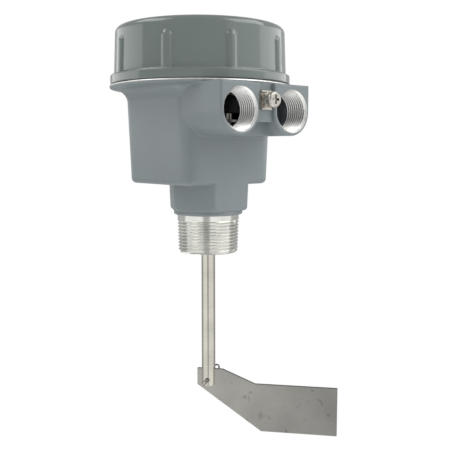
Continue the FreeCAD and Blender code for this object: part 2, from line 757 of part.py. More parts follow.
def chassis_plate():
    """Moulded plate on the four pillars, with a stepped tube for the carrier."""
    sheet = plan(box_outline(CHASSIS_Z, WALL + CHASSIS_GAP), CHASSIS_Z, CHASSIS_TOP_Z)
    pivot = turned([
        (0, CHASSIS_Z, 0),
        (TUBE_FOOT_R, CHASSIS_Z, 0),
        (TUBE_FOOT_R, TUBE_FOOT_Z, 0),
        (TUBE_R, TUBE_FOOT_Z, 0),
        (TUBE_R, carrier_clip_z(), 0),
        (TUBE_R - 1, carrier_clip_z(), 0),
        (TUBE_R - 1, carrier_clip_z() + CIRCLIP_THICK, 0),
        (TUBE_R, carrier_clip_z() + CIRCLIP_THICK, 0),
        (TUBE_R, TUBE_TOP_Z, 0.5),
        (0, TUBE_TOP_Z, 0),
    ])
    plate = sheet.fuse(pivot).cut(cylinder(TUBE_BORE_R, CHASSIS_Z - 1, TUBE_TOP_Z + 1))
    for x, y in pillar_places():
        plate = plate.cut(cylinder(STUD_R, CHASSIS_Z - 1, CHASSIS_TOP_Z + 1, x, y))
    for x, y in switch_screw_places():
        plate = plate.cut(cylinder(SWITCH_SCREW_R, CHASSIS_Z - 1, CHASSIS_TOP_Z + 1, x, y))
    wire_slot = plan(rectangle(-8, 8, -20, -17, 1.4), CHASSIS_Z - 1, CHASSIS_TOP_Z + 1)
    return plate.cut(wire_slot).removeSplitter()


def carrier_clip_z():
    return CARRIER_Z + CARRIER_THICK + CIRCLIP_GAP


def carrier_clip():
    """Open ring on the pivot tube, above the carrier."""
    low = carrier_clip_z()
    ring = tube(CARRIER_CLIP_R, TUBE_R - 1, low, low + CIRCLIP_THICK)
    opening = Part.makeBox(CARRIER_CLIP_R + 1, 5.0, CIRCLIP_THICK + 2, V(0, -2.5, low - 1))
    return ring.cut(opening)


def motor_screw_places():
    step = 360 / MOTOR_SCREW_COUNT
    return [on_ring(MOTOR_SCREW_RING_R, MOTOR_SCREW_START_DEG + step * k) for k in range(MOTOR_SCREW_COUNT)]


def trip_pin_place():
    return on_ring(TRIP_PIN_RING_R, TRIP_PIN_DEG)


def carrier_post_place():
    return on_ring(CARRIER_POST_RING_R, CARRIER_POST_DEG)


def motor_carrier():
    """Pressed disc with a collar that turns on the pivot tube, and weight-saving windows."""
    bore = TUBE_R + RUNNING_GAP
    foot = TUBE_FOOT_Z + CIRCLIP_GAP
    high = CARRIER_Z + CARRIER_THICK
    plate = turned([
        (bore, foot, 0),
        (CARRIER_COLLAR_R, foot, 0),
        (CARRIER_COLLAR_R, CARRIER_Z, 0.4),
        (CARRIER_R, CARRIER_Z, 0.4),
        (CARRIER_R, high, 0.4),
        (bore, high, 0),
    ])
    for x, y in motor_screw_places():
        plate = plate.cut(cylinder(MOTOR_SCREW_R, foot, high + 1, x, y))
    for x, y in (trip_pin_place(), carrier_post_place()):
        plate = plate.cut(cylinder(TRIP_PIN_R, foot, high + 1, x, y))
    for degrees in (0, 140, 220):
        x, y = on_ring(20.0, degrees)
        plate = plate.cut(cylinder(3.5, foot, high + 1, x, y))
    return plate


def trip_pin():
    x, y = trip_pin_place()
    return cylinder(TRIP_PIN_R, CHASSIS_TOP_Z + 1.2, CARRIER_Z + CARRIER_THICK, x, y)


def carrier_spring_post():
    """Post riveted under the carrier, waisted where the spring hooks on."""
    x, y = carrier_post_place()
    return waisted_post(x, y, RETURN_SPRING_Z - 3, CARRIER_Z + CARRIER_THICK)


def fixed_spring_post():
    return waisted_post(FIXED_POST_X, FIXED_POST_Y, CHASSIS_TOP_Z, RETURN_SPRING_Z + 3)


def waisted_post(x, y, low, high):
    waist = POST_R - 0.4
    return turned([
        (0, low, 0),
        (POST_R, low, 0),
        (POST_R, RETURN_SPRING_Z - 1.2, 0),
        (waist, RETURN_SPRING_Z - 0.8, 0),
        (waist, RETURN_SPRING_Z + 0.8, 0),
        (POST_R, RETURN_SPRING_Z + 1.2, 0),
        (POST_R, high, 0),
        (0, high, 0),
    ], x, y)


def rest_stop():
    """Post on the chassis that the trip pin rests against."""
    apart = TRIP_PIN_R + STOP_R + STOP_GAP
    turn = math.degrees(2 * math.asin(apart / 2 / TRIP_PIN_RING_R))
    x, y = on_ring(TRIP_PIN_RING_R, TRIP_PIN_DEG - turn)
    return cylinder(STOP_R, CHASSIS_TOP_Z, CARRIER_Z - MOTOR_SCREW_HEAD_HEIGHT - 1, x, y)


def coil(radius, wire_r, turns, length):
    """Helical wire standing on Z = 0, starting on the X axis."""
    spine = Part.makeHelix(length / turns, length, radius)
    section = Part.Wire(Part.makeCircle(wire_r, V(radius, 0, 0), V(0, 1, 0)))
    return Part.Wire(spine.Edges).makePipeShell([section], True, True)


def return_spring():
    """Extension spring between the two posts, with a hook ring at each end."""
    start = V(FIXED_POST_X, FIXED_POST_Y, RETURN_SPRING_Z)
    end = V(*carrier_post_place(), RETURN_SPRING_Z)
    span = end - start
    hook = RETURN_SPRING_HOOK
    length = span.Length - 2 * hook
    wire_r = RETURN_SPRING_WIRE_R
    spring = coil(RETURN_SPRING_R, wire_r, RETURN_SPRING_TURNS, length)
    ring_r = hook / 2
    for base, away in ((0, -1), (length, 1)):
        ring = Part.makeTorus(ring_r, wire_r, V(0, 0, base + away * hook), V(1, 0, 0))
        neck_end = V(0, 0, base + away * ring_r)
        shoulder = V(RETURN_SPRING_R, 0, base)
        corner = V(0, 0, base)
        neck = bent_wire(wire_r, neck_end, corner, shoulder, wire_r * 1.5)
        spring = spring.fuse([ring, neck])
    spring.rotate(CENTRE, V(0, 1, 0), 90)
    spring.rotate(CENTRE, UP, math.degrees(math.atan2(span.y, span.x)))
    span.normalize()
    spring.translate(start + span * hook)
    return spring


def motor_gearbox():
    """Moulded gear case with a stepped lid line, screw bosses and an output boss."""
    case = turned([
        (0, GEARBOX_Z, 0),
        (GEARBOX_R - 0.6, GEARBOX_Z, 0.8),
        (GEARBOX_R - 0.6, GEARBOX_Z + 5, 0),
        (GEARBOX_R, GEARBOX_Z + 5, 0),
        (GEARBOX_R, GEARBOX_TOP_Z, 1.0),
        (0, GEARBOX_TOP_Z, 0),
    ])
    bore = OUTPUT_R + RUNNING_GAP
    case = case.cut(cylinder(bore, GEARBOX_Z - 1, GEARBOX_Z + 8))
    for x, y in motor_screw_places():
        case = case.cut(cylinder(MOTOR_SCREW_R, GEARBOX_Z - 1, GEARBOX_Z + 5, x, y))
    return case


def motor_spacers():
    low = CARRIER_Z + CARRIER_THICK
    return group([tube(3.0, MOTOR_SCREW_R, low, GEARBOX_Z, x, y) for x, y in motor_screw_places()])


def motor_screws():
    """Screws from under the carrier, through the spacers, into the gear case."""
    screws = []
    for x, y in motor_screw_places():
        length = GEARBOX_Z - CARRIER_Z + MOTOR_SCREW_BITE
        screw = pan_screw(MOTOR_SCREW_R, length, MOTOR_SCREW_HEAD_R, MOTOR_SCREW_HEAD_HEIGHT)
        screw.rotate(CENTRE, V(1, 0, 0), 180)
        screw.translate(V(x, y, CARRIER_Z))
        screws.append(screw)
    return group(screws)


def motor_can():
    """Drawn steel can with a rolled top edge and a raised bearing cup."""
    return turned([
        (0, GEARBOX_TOP_Z, 0),
        (CAN_R + 1.0, GEARBOX_TOP_Z, 0),
        (CAN_R + 1.0, GEARBOX_TOP_Z + 1.5, 0.5),
        (CAN_R, GEARBOX_TOP_Z + 1.5, 0),
        (CAN_R, CAN_TOP_Z - 2, 1.8),
        (8.0, CAN_TOP_Z - 2, 0.8),
        (7.0, CAN_TOP_Z, 0.8),
        (0, CAN_TOP_Z, 0),
    ])


# Slip clutch between motor and shaft

def clutch_hub():
    """Hub on the shaft's flat, with a friction face on top and a hole for its set screw."""
    hub = turned([
        (0, HUB_Z, 0),
        (HUB_R, HUB_Z, 0.6),
        (HUB_R, HUB_TOP_Z, 0.4),
        (0, HUB_TOP_Z, 0),
    ])
    return hub.cut(paddle_shaft()).cut(set_screw_form())


def set_screw_form():
    flat_y = -SHAFT_R + 1
    return Part.makeCylinder(2.0, HUB_R - 0.4 + flat_y, V(0, flat_y, HUB_Z + 4), V(0, -1, 0))


def hub_set_screw():
    screw = set_screw_form()
    socket = Part.makeCylinder(1.0, 2, V(0, -HUB_R, HUB_Z + 4), V(0, 1, 0))
    return screw.cut(socket)


def clutch_disc():
    return tube(HUB_R - 0.3, OUTPUT_R + 0.5, HUB_TOP_Z, HUB_TOP_Z + CLUTCH_DISC_THICK)


def driver_z():
    return HUB_TOP_Z + CLUTCH_DISC_THICK


def clutch_driver():
    return tube(HUB_R - 0.3, OUTPUT_R, driver_z(), driver_z() + DRIVER_THICK)


def spring_collar():
    high = SPRING_COLLAR_Z + SPRING_COLLAR_HEIGHT
    return turned([
        (OUTPUT_R, SPRING_COLLAR_Z, 0),
        (SPRING_COLLAR_R, SPRING_COLLAR_Z, 0.4),
        (SPRING_COLLAR_R, high, 0.4),
        (OUTPUT_R, high, 0),
    ])


def motor_output_shaft():
    return turned([
        (0, driver_z(), 0),
        (OUTPUT_R, driver_z(), 0.4),
        (OUTPUT_R, GEARBOX_Z + 7, 0),
        (0, GEARBOX_Z + 7, 0),
    ])


def clutch_spring():
    """Compression coil between the driver and the collar on the output shaft."""
    low = driver_z() + DRIVER_THICK
    height = SPRING_COLLAR_Z - low - 2 * CLUTCH_SPRING_WIRE_R
    spring = coil(OUTPUT_R + 1.2, CLUTCH_SPRING_WIRE_R, CLUTCH_SPRING_TURNS, height)
    spring.translate(V(0, 0, low + CLUTCH_SPRING_WIRE_R))
    return spring


# Snap switches

def switch_floor(level):
    return CHASSIS_TOP_Z + level * SWITCH_THICK


def switch_screw_places():
    x = SWITCH_FACE_X - SWITCH_WIDTH + 2.6
    return [(x, SWITCH_END_Y + SWITCH_SCREW_INSET), (x, SWITCH_END_Y + SWITCH_LENGTH - SWITCH_SCREW_INSET)]


def snap_switch(level):
    """Switch case with mounting holes, a plunger hole, a pivot notch and three blade terminals."""
    low = switch_floor(level)
    high = low + SWITCH_THICK
    back_x = SWITCH_FACE_X - SWITCH_WIDTH
    case = plan(rectangle(back_x, SWITCH_FACE_X, SWITCH_END_Y, SWITCH_END_Y + SWITCH_LENGTH, 0.6), low, high)
    for x, y in switch_screw_places():
        case = case.cut(cylinder(SWITCH_SCREW_R, low - 1, high + 1, x, y))
    middle = (low + high) / 2
    hole_mouth = V(SWITCH_FACE_X, PLUNGER_Y, middle)
    case = case.cut(Part.makeCylinder(PLUNGER_R + 0.08, PLUNGER_HOLE_DEPTH, hole_mouth, V(-1, 0, 0)))
    for y in (2.5, 9.0, 16.5):
        blade = Part.makeBox(4.0, 2.4, 0.5, V(back_x - 4.0, SWITCH_END_Y + y, middle - 0.25))
        case = case.fuse(blade)
    lug = Part.makeBox(1.7, 1.8, LUG_THICK, V(SWITCH_FACE_X, LEVER_PIVOT_Y - 0.9, low))
    top_lug = lug.translated(V(0, 0, SWITCH_THICK - LUG_THICK))
    pivot_hole = cylinder(LEVER_PIN_R + RUNNING_GAP, low - 1, high + 1, LEVER_PIVOT_X, LEVER_PIVOT_Y)
    return case.fuse(lug).fuse(top_lug).cut(pivot_hole)


def switch_lever(level):
    """Leaf lever on a small pivot pin, leaning out over the plunger to the trip pin."""
    middle = switch_floor(level) + SWITCH_THICK / 2
    leaf = Part.makeBox(LEVER_THICK, LEVER_LENGTH, LEVER_HEIGHT, V(-LEVER_THICK / 2, 0, -LEVER_HEIGHT / 2))
    pivot_length = SWITCH_THICK - 0.2
    pivot = Part.makeCylinder(LEVER_PIN_R, pivot_length, V(0, 0, -pivot_length / 2))
    lever = leaf.fuse(pivot)
    lever.rotate(CENTRE, UP, -LEVER_TILT_DEG)
    lever.translate(V(LEVER_PIVOT_X, LEVER_PIVOT_Y, middle))
    return lever


def switch_plunger(level):
    middle = switch_floor(level) + SWITCH_THICK / 2
    stem = turned([
        (0, 0, 0),
        (PLUNGER_R, 0, 0),
        (PLUNGER_R, PLUNGER_LENGTH, 0.6),
        (0, PLUNGER_LENGTH, 0),
    ])
    stem.rotate(CENTRE, V(0, 1, 0), 90)
    stem.translate(V(PLUNGER_TIP_X - PLUNGER_LENGTH, PLUNGER_Y, middle))
    return stem


def switch_screws():
    screws = []
    for x, y in switch_screw_places():
        screw = pan_screw(SWITCH_SCREW_R, 2 * SWITCH_THICK + CHASSIS_THICK, 2.0, 1.3)
        screw.translate(V(x, y, switch_floor(2)))
        screws.append(screw)
    return group(screws)


# Terminal board

def board_standoffs():
    """Hex standoffs whose studs clamp the chassis plate to the pillars."""
    posts = []
    for x, y in pillar_places():
        post = plan(hexagon(STANDOFF_FLAT), CHASSIS_TOP_Z, BOARD_Z)
        stud = cylinder(STUD_R, CHASSIS_Z - STUD_DEPTH + 1, CHASSIS_TOP_Z)
        post = post.fuse(stud).cut(cylinder(1.5, BOARD_Z - 8, BOARD_Z + 1))
        post.translate(V(x, y, 0))
        posts.append(post)
    return group(posts)


def terminal_board():
    """Round board over the motor, cut straight in front to let the wires up."""
    board = cylinder(BOARD_R, BOARD_Z, BOARD_Z + BOARD_THICK, 0, LID_AXIS_Y)
    front_corner = V(-BOARD_R, BOARD_FRONT_Y - BOARD_R, BOARD_Z - 1)
    board = board.cut(Part.makeBox(2 * BOARD_R, BOARD_R, BOARD_THICK + 2, front_corner))
    for x, y in pillar_places():
        board = board.cut(cylinder(1.5, BOARD_Z - 1, BOARD_Z + BOARD_THICK + 1, x, y))
    return board


def board_screws():
    screws = []
    for x, y in pillar_places():
        screw = pan_screw(1.5, BOARD_THICK + 6, 2.8, 1.8)
        screw.translate(V(x, y, BOARD_Z + BOARD_THICK))
        screws.append(screw)
    return group(screws)


def terminal_places():
    first = -TERMINAL_PITCH * (TERMINAL_COUNT - 1) / 2
    return [first + TERMINAL_PITCH * k for k in range(TERMINAL_COUNT)]


def terminal_block():
    """Barrier strip: a base with fins between the poles and a screw pocket in each."""
    low = BOARD_Z + BOARD_THICK
    half = TERMINAL_PITCH * TERMINAL_COUNT / 2 + 1
    front = TERMINAL_Y - TERMINAL_DEPTH / 2
    back = TERMINAL_Y + TERMINAL_DEPTH / 2
    block = plan(rectangle(-half, half, front, back, 0.8), low, low + TERMINAL_HEIGHT)
    for x in terminal_places():
        pocket = Part.makeBox(
            TERMINAL_PITCH - 1.6, TERMINAL_DEPTH + 2, TERMINAL_HEIGHT - 5,
            V(x - TERMINAL_PITCH / 2 + 0.8, front - 1, low + 5))
        block = block.cut(pocket).cut(cylinder(TERMINAL_SCREW_R, low + 1, low + 6, x, TERMINAL_Y - 4))
        block = block.cut(cylinder(TERMINAL_SCREW_R, low + 1, low + 6, x, TERMINAL_Y + 4))
    return block


def terminal_screws():
    low = BOARD_Z + BOARD_THICK + 5
    screws = []
    for x in terminal_places():
        for y in (TERMINAL_Y - 4, TERMINAL_Y + 4):
            screw = pan_screw(TERMINAL_SCREW_R, 4, 3.2, 2.0)
            screw.translate(V(x, y, low))
            screws.append(screw)
    return group(screws)


# Ground terminals

def facing_front(shape, y, z):
    """Turn a piece drawn standing up so that it points out of the front, at a place on the pad."""
    shape.rotate(CENTRE, V(1, 0, 0), 90)
    shape.translate(V(0, y, z))
    return shape


def ground_clamp():
    """Saddle clamp: a square plate with its upper and lower edges folded out."""
    half_x = CLAMP_WIDTH / 2
    half_z = CLAMP_HEIGHT / 2
    profile = [
        (-half_z, 0, 0.8),
        (half_z, 0, 0.8),
        (half_z, CLAMP_FLANGE, 0),
        (half_z - CLAMP_THICK, CLAMP_FLANGE, 0),
        (half_z - CLAMP_THICK, CLAMP_THICK, 0.4),
        (-half_z + CLAMP_THICK, CLAMP_THICK, 0.4),
        (-half_z + CLAMP_THICK, CLAMP_FLANGE, 0),
        (-half_z, CLAMP_FLANGE, 0),
    ]
    wire = outline(profile, lambda across, out: V(-half_x, across, out))
    clamp = Part.Face(wire).extrude(V(CLAMP_WIDTH, 0, 0))
    clamp = clamp.cut(cylinder(GROUND_SCREW_R, -1, CLAMP_THICK + 1))
    return facing_front(clamp, PAD_FACE_Y, GROUND_Z)


def flat_washer_y():
    """Back of the flat washer: the screw is backed off the clamp to take a wire."""
    return PAD_FACE_Y - CLAMP_THICK - GROUND_BACKED_OFF


def ground_flat_washer():
    ring = tube(FLAT_WASHER_R, GROUND_SCREW_R, 0, FLAT_WASHER_THICK)
    return facing_front(ring, flat_washer_y(), GROUND_Z)


def ground_spring_washer():
    """Split lock washer between the flat washer and the screw head."""
    ring = tube(LOCK_WASHER_R, GROUND_SCREW_R, 0, LOCK_WASHER_THICK)
    split = Part.makeBox(LOCK_WASHER_R + 1, 0.7, LOCK_WASHER_THICK + 2, V(0, -0.35, -1))
    return facing_front(ring.cut(split), flat_washer_y() - FLAT_WASHER_THICK, GROUND_Z)


def ground_screw():
    head_y = flat_washer_y() - FLAT_WASHER_THICK - LOCK_WASHER_THICK
    shank = PAD_FACE_Y - head_y + GROUND_SCREW_BITE
    screw = pan_screw(GROUND_SCREW_R, shank, GROUND_HEAD_R, GROUND_HEAD_HEIGHT)
    return facing_front(screw, head_y, GROUND_Z)


def inner_ground_screw():
    screw = pan_screw(STUD_R, 4, 3.8, 2.4)
    screw.translate(V(0, INNER_GROUND_Y, INNER_GROUND_Z))
    return screw


PIECES = {
    "housing_body": housing_body,
    "housing_lid": housing_lid,
    "lid_seal": lid_seal,
    "process_bushing": process_bushing,
    "lower_bearing": lambda: ball_bearing(LOWER_BEARING_TOP_Z - BEARING_WIDTH),
    "upper_bearing": lambda: ball_bearing(UPPER_BEARING_Z),
    "shaft_seal": shaft_seal,
    "paddle_shaft": paddle_shaft,
    "lower_circlip": lambda: circlip(lower_circlip_z()),
    "upper_circlip": lambda: circlip(upper_circlip_z()),
    "paddle": paddle,
    "cotter_pin": cotter_pin,
    "ground_clamp": ground_clamp,
    "ground_flat_washer": ground_flat_washer,
    "ground_spring_washer": ground_spring_washer,
    "ground_screw": ground_screw,
    "inner_ground_screw": inner_ground_screw,
    "chassis_plate": chassis_plate,
    "carrier_clip": carrier_clip,
    "motor_carrier": motor_carrier,
    "trip_pin": trip_pin,
    "carrier_spring_post": carrier_spring_post,
    "fixed_spring_post": fixed_spring_post,
    "return_spring": return_spring,
    "rest_stop": rest_stop,
    "motor_spacers": motor_spacers,
    "motor_screws": motor_screws,
    "motor_gearbox": motor_gearbox,
    "motor_can": motor_can,
    "motor_output_shaft": motor_output_shaft,
    "spring_collar": spring_collar,
    "clutch_spring": clutch_spring,
    "clutch_driver": clutch_driver,
    "clutch_disc": clutch_disc,
    "clutch_hub": clutch_hub,
    "hub_set_screw": hub_set_screw,
    "signal_switch": lambda: snap_switch(0),
    "motor_switch": lambda: snap_switch(1),
    "signal_lever": lambda: switch_lever(0),
    "motor_lever": lambda: switch_lever(1),
    "signal_plunger": lambda: switch_plunger(0),
    "motor_plunger": lambda: switch_plunger(1),
    "switch_screws": switch_screws,
    "board_standoffs": board_standoffs,
    "terminal_board": terminal_board,
    "board_screws": board_screws,
    "terminal_block": terminal_block,
    "terminal_screws": terminal_screws,
}

os.makedirs("parts", exist_ok=True)
for name, make in PIECES.items():
    shape = make()
    print(name, "valid" if shape.isValid() else "NOT VALID", len(shape.Solids), round(shape.Volume, 1))
    shape.exportStep("parts/" + name + ".step")
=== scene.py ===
import json
import math

import bmesh
import bpy
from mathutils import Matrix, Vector
from mathutils.geometry import interpolate_bezier


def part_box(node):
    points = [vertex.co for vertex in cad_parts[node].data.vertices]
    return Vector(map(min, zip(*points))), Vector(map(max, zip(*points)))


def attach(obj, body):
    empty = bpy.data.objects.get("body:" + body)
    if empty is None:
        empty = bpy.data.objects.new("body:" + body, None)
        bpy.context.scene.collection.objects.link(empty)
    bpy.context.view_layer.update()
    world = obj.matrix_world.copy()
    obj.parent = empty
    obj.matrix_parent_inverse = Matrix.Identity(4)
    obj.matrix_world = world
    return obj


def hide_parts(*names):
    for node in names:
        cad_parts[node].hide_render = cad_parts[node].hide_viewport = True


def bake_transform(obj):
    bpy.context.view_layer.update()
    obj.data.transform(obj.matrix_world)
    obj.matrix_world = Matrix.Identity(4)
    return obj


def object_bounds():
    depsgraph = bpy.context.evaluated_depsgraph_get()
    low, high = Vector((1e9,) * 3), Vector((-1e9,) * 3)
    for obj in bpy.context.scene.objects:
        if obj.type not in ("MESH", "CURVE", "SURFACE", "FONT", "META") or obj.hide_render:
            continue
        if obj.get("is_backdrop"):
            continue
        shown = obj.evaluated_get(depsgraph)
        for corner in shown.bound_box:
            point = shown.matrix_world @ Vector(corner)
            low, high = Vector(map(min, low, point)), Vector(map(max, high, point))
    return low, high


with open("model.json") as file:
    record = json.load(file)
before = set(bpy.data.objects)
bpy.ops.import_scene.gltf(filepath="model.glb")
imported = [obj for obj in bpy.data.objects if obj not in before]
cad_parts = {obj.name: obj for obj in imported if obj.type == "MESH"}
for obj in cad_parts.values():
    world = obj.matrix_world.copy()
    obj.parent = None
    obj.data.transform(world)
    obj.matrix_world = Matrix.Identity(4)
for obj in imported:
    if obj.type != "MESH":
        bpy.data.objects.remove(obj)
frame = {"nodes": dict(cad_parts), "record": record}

cad_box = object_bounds()

# Rotary paddle level switch, dressed for its picture.
# Metres. Z is the shaft axis, up towards the lid. The conduit entries face -Y, and Z = 0 is the
# shoulder above the process thread.

MM = 0.001

# Camera, for a square picture. The sensor's width is in millimetres, like the lens.
PICTURE_SIDE = 450
FOCAL_PIXELS = 694.89
SENSOR = 36.0
NEAREST_SEEN = 10 * MM
CAMERA_PLACE = Vector((-296.5, -374.3, 44.45)) * MM
CAMERA_AHEAD = Vector((0.636, 0.764, -0.109))

# Process bushing: 1-1/4 inch taper pipe thread under a short plain band, bored for two bearings
THREAD_R = 21.08 * MM
THREAD_PITCH = 25.4 / 11.5 * MM
THREAD_DEPTH = 1.2 * MM
THREAD_TAPER = 1 / 32
THREAD_CHAMFER = 1.1 * MM
THREAD_RUN_OUT = THREAD_PITCH / 2
PLAIN_BAND = 3.4 * MM
SPIGOT_R = 19.0 * MM
SEAT_R = 22.225 / 2 * MM
MID_BORE_R = 8.5 * MM
LOWER_SEAT_Z = -11.5 * MM
UPPER_SEAT_Z = 17.5 * MM

# Conduit entries: 3/4 inch taper pipe thread with a chamfered mouth, a hair clear of the casting
CONDUIT_X = 21.5 * MM
CONDUIT_Z = 68.0 * MM
CONDUIT_FACE_Y = -59.0 * MM
CONDUIT_BORE_R = 12.9 * MM
CONDUIT_MOUTH_R = 13.65 * MM
CONDUIT_MOUTH_SLOPE = 1.1
CONDUIT_LEAD = 1.2 * MM
CONDUIT_CLEAR = 0.02 * MM
CONDUIT_THREAD_LENGTH_LEFT = 14.6 * MM
CONDUIT_THREAD_LENGTH_RIGHT = 16.9 * MM
CONDUIT_PITCH = 25.4 / 14 * MM
CONDUIT_THREAD_DEPTH = 1.05 * MM

# Lid thread, outside on the collar and inside in the lid, with a hair between it and their walls
LID_AXIS_Y = 8.3 * MM
LID_PITCH = 3.0 * MM
LID_THREAD_DEPTH = 1.2 * MM
LID_THREAD_BACK = 0.02 * MM
LID_THREAD_ROOT = 0.05 * MM
COLLAR_R = 52.0 * MM
COLLAR_THREAD_Z = (88.4 * MM, 96.6 * MM)
LID_BORE_R = 53.8 * MM
LID_THREAD_Z = (91.4 * MM, 98.6 * MM)

# Bare land where the deck was faced off, round the rim's upper edge
RIM_R = 61.4 * MM
RIM_EDGE_R = 0.9 * MM
DECK_Z = 86.9 * MM
LAND_PROUD = 0.05 * MM
LAND_DEEP = 0.3 * MM
LAND_DROP = 0.1 * MM
LAND_ANGLES = tuple(math.radians(degrees) for degrees in (0, 15, 30, 45, 60))

# Thread form, in shares of a pitch: its flats, and the corners of one ridge
CREST_FLAT = 0.16
ROOT_FLAT = 0.12
RIDGE_PHASES = (0, ROOT_FLAT / 2, 0.5 - CREST_FLAT / 2, 0.5 + CREST_FLAT / 2, 1 - ROOT_FLAT / 2)

# Return spring, hooked between a post on the chassis and a post on the motor carrier
SPRING_R = 2.4 * MM
SPRING_WIRE_R = 0.45 * MM
SPRING_TURNS = 8
SPRING_HOOK_R = 2.0 * MM
SPRING_HOOK_REACH = 4.0 * MM
SPRING_HOOK_START = math.radians(60)
SPRING_HOOK_END = math.radians(330)
SPRING_NECK_POINTS = 10
STEPS_PER_TURN = 24
WIRE_SIDES = 10

# Rings and meshes
RING_SEGMENTS = 144
SAME_POINT = 0.001 * MM
SLIVER = 0.0001 * MM
SHARP_ANGLE = math.radians(35)

# Rays by which a finish finds crevices for its painted shade, and corners
CREVICE_RAYS = 8
CORNER_RAYS = 6

# Heading of the vane at rest, seen from above
PADDLE_HEADING = math.radians(-49.5)

# Studio
FLOOR_Z = -1.3
FLOOR_SIDE = 12.0
AMBIENT = 0.44
WHITE = (1, 1, 1, 1)
LIGHT_TARGET = Vector((0, 0, 0.03))
LIGHT_DISTANCE = 1.2

# Soft lights: degrees right of the front view and above it, width, height and brightness
SOFTBOXES = {
    "left_card": (-57, -20, 1.87, 0.95, 0.56),
    "right_card": (50, -20, 2.3, 0.95, 0.54),
    "left_light": (-112, 8, 1.5, 0.5, 0.7),
    "right_light": (60, 8, 1.1, 0.5, 0.28),
    "right_rim_light": (112, 8, 1.2, 0.5, 0.95),
    "left_key": (-80, 48, 0.9, 0.5, 2.1),
    "right_key": (72, 40, 1.1, 0.8, 1.9),
    "left_under_card": (-110, -58, 1.2, 0.7, 0.75),
    "right_under_card": (45, -58, 1.2, 0.7, 0.8),
}

# Places of the sockets on a Mix node for colours and on one for shaders
MIX_COLOUR_A = 6
MIX_COLOUR_B = 7
MIX_COLOUR_RESULT = 2
MIX_SHADER_A = 1
MIX_SHADER_B = 2


# Mesh pieces

def clean(mesh):
    """Joins points that coincide, drops slivers and turns all faces outwards."""
    shape = bmesh.new()
    shape.from_mesh(mesh)
    bmesh.ops.remove_doubles(shape, verts=shape.verts, dist=SAME_POINT)
    bmesh.ops.dissolve_degenerate(shape, edges=shape.edges, dist=SLIVER)
    bmesh.ops.recalc_face_normals(shape, faces=shape.faces)
    shape.to_mesh(mesh)
    shape.free()


def piece(name, points, faces, finish, replaced=()):
    """Mesh object with a finish, shaded smooth up to its sharp edges."""
    mesh = bpy.data.meshes.new(name)
    mesh.from_pydata(points, [], faces)
    clean(mesh)
    mesh.shade_smooth()
    mesh.set_sharp_from_angle(angle=SHARP_ANGLE)
    made = bpy.data.objects.new(name, mesh)
    bpy.context.scene.collection.objects.link(made)
    if replaced:
        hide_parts(*replaced)
    made.data.materials.append(FINISHES[finish])
    return made


def upright(x, y, low):
    """Places a ring on a vertical axis."""
    def place(radius, angle, along):
        return (x + radius * math.cos(angle), y + radius * math.sin(angle), low + along)
    return place


def inward(x, z, front):
    """Places a ring on an axis that runs from the front into the body."""
    def place(radius, angle, along):
        return (x + radius * math.sin(angle), front + along, z + radius * math.cos(angle))
    return place


def add_ring(points, radius, along, place):
    """Adds a plain ring to the points, and returns the numbers of its own."""
    ring = list(range(len(points), len(points) + RING_SEGMENTS))
    for k in range(RING_SEGMENTS):
        points.append(place(radius, 2 * math.pi * k / RING_SEGMENTS, along))
    return ring


def ring_faces(a, b):
    """Band of faces between two rings with as many points."""
    count = len(a)
    return [(a[k], a[(k + 1) % count], b[(k + 1) % count], b[k]) for k in range(count)]


def plain_ring(profile, place):
    """Closed ring turned from (radius, along) corners."""
    points = []
    rings = [add_ring(points, radius, along, place) for radius, along in profile]
    faces = []
    for k, ring in enumerate(rings):
        faces += ring_faces(rings[k - 1], ring)
    return points, faces


def ridge(phase):
    """Height of the thread form, from 0 in the root to 1 on the crest, over one pitch."""
    from_crest = abs(phase % 1 - 0.5) * 2
    return min(1, max(0, (1 - ROOT_FLAT - from_crest) / (1 - ROOT_FLAT - CREST_FLAT)))


def thread_points(radius_at, length, pitch, rows, place):
    """Threaded side: at each step round the axis a column of points, which climbs with the helix."""
    per_turn = len(RIDGE_PHASES)
    points = []
    for k in range(RING_SEGMENTS):
        share = k / RING_SEGMENTS
        angle = 2 * math.pi * share
        for row in range(rows):
            turn = row // per_turn - 1 + RIDGE_PHASES[row % per_turn] + share
            along = min(length, max(0, turn * pitch))
            radius = radius_at(along, along / pitch - share)
            points.append(place(radius, angle, along))
    return points


def thread_faces(rows):
    """Faces between the columns of the threaded side. The last column meets the first one turn up."""
    per_turn = len(RIDGE_PHASES)
    faces = []
    for k in range(RING_SEGMENTS):
        here = k * rows
        last = k == RING_SEGMENTS - 1
        there = per_turn if last else here + rows
        for row in range(rows - 1 - (per_turn if last else 0)):
            faces.append((here + row, there + row, there + row + 1, here + row + 1))
    return faces


def threaded_ring(radius_at, length, pitch, rest_of_profile, place):
    """Closed ring whose one side is a helical thread.

    radius_at(along, phase) is the threaded side, from 0 to length along the axis. The rest of the
    profile runs from the thread's far end back round to its start, as (radius, along) corners.
    """
    rows = (math.ceil(length / pitch) + 2) * len(RIDGE_PHASES)
    points = thread_points(radius_at, length, pitch, rows, place)
    faces = thread_faces(rows)
    starts = [k * rows for k in range(RING_SEGMENTS)]
    before = [k * rows + rows - 1 for k in range(RING_SEGMENTS)]
    for radius, along in rest_of_profile:
        ring = add_ring(points, radius, along, place)
        faces += ring_faces(before, ring)
        before = ring
    faces += ring_faces(before, starts)
    return points, faces


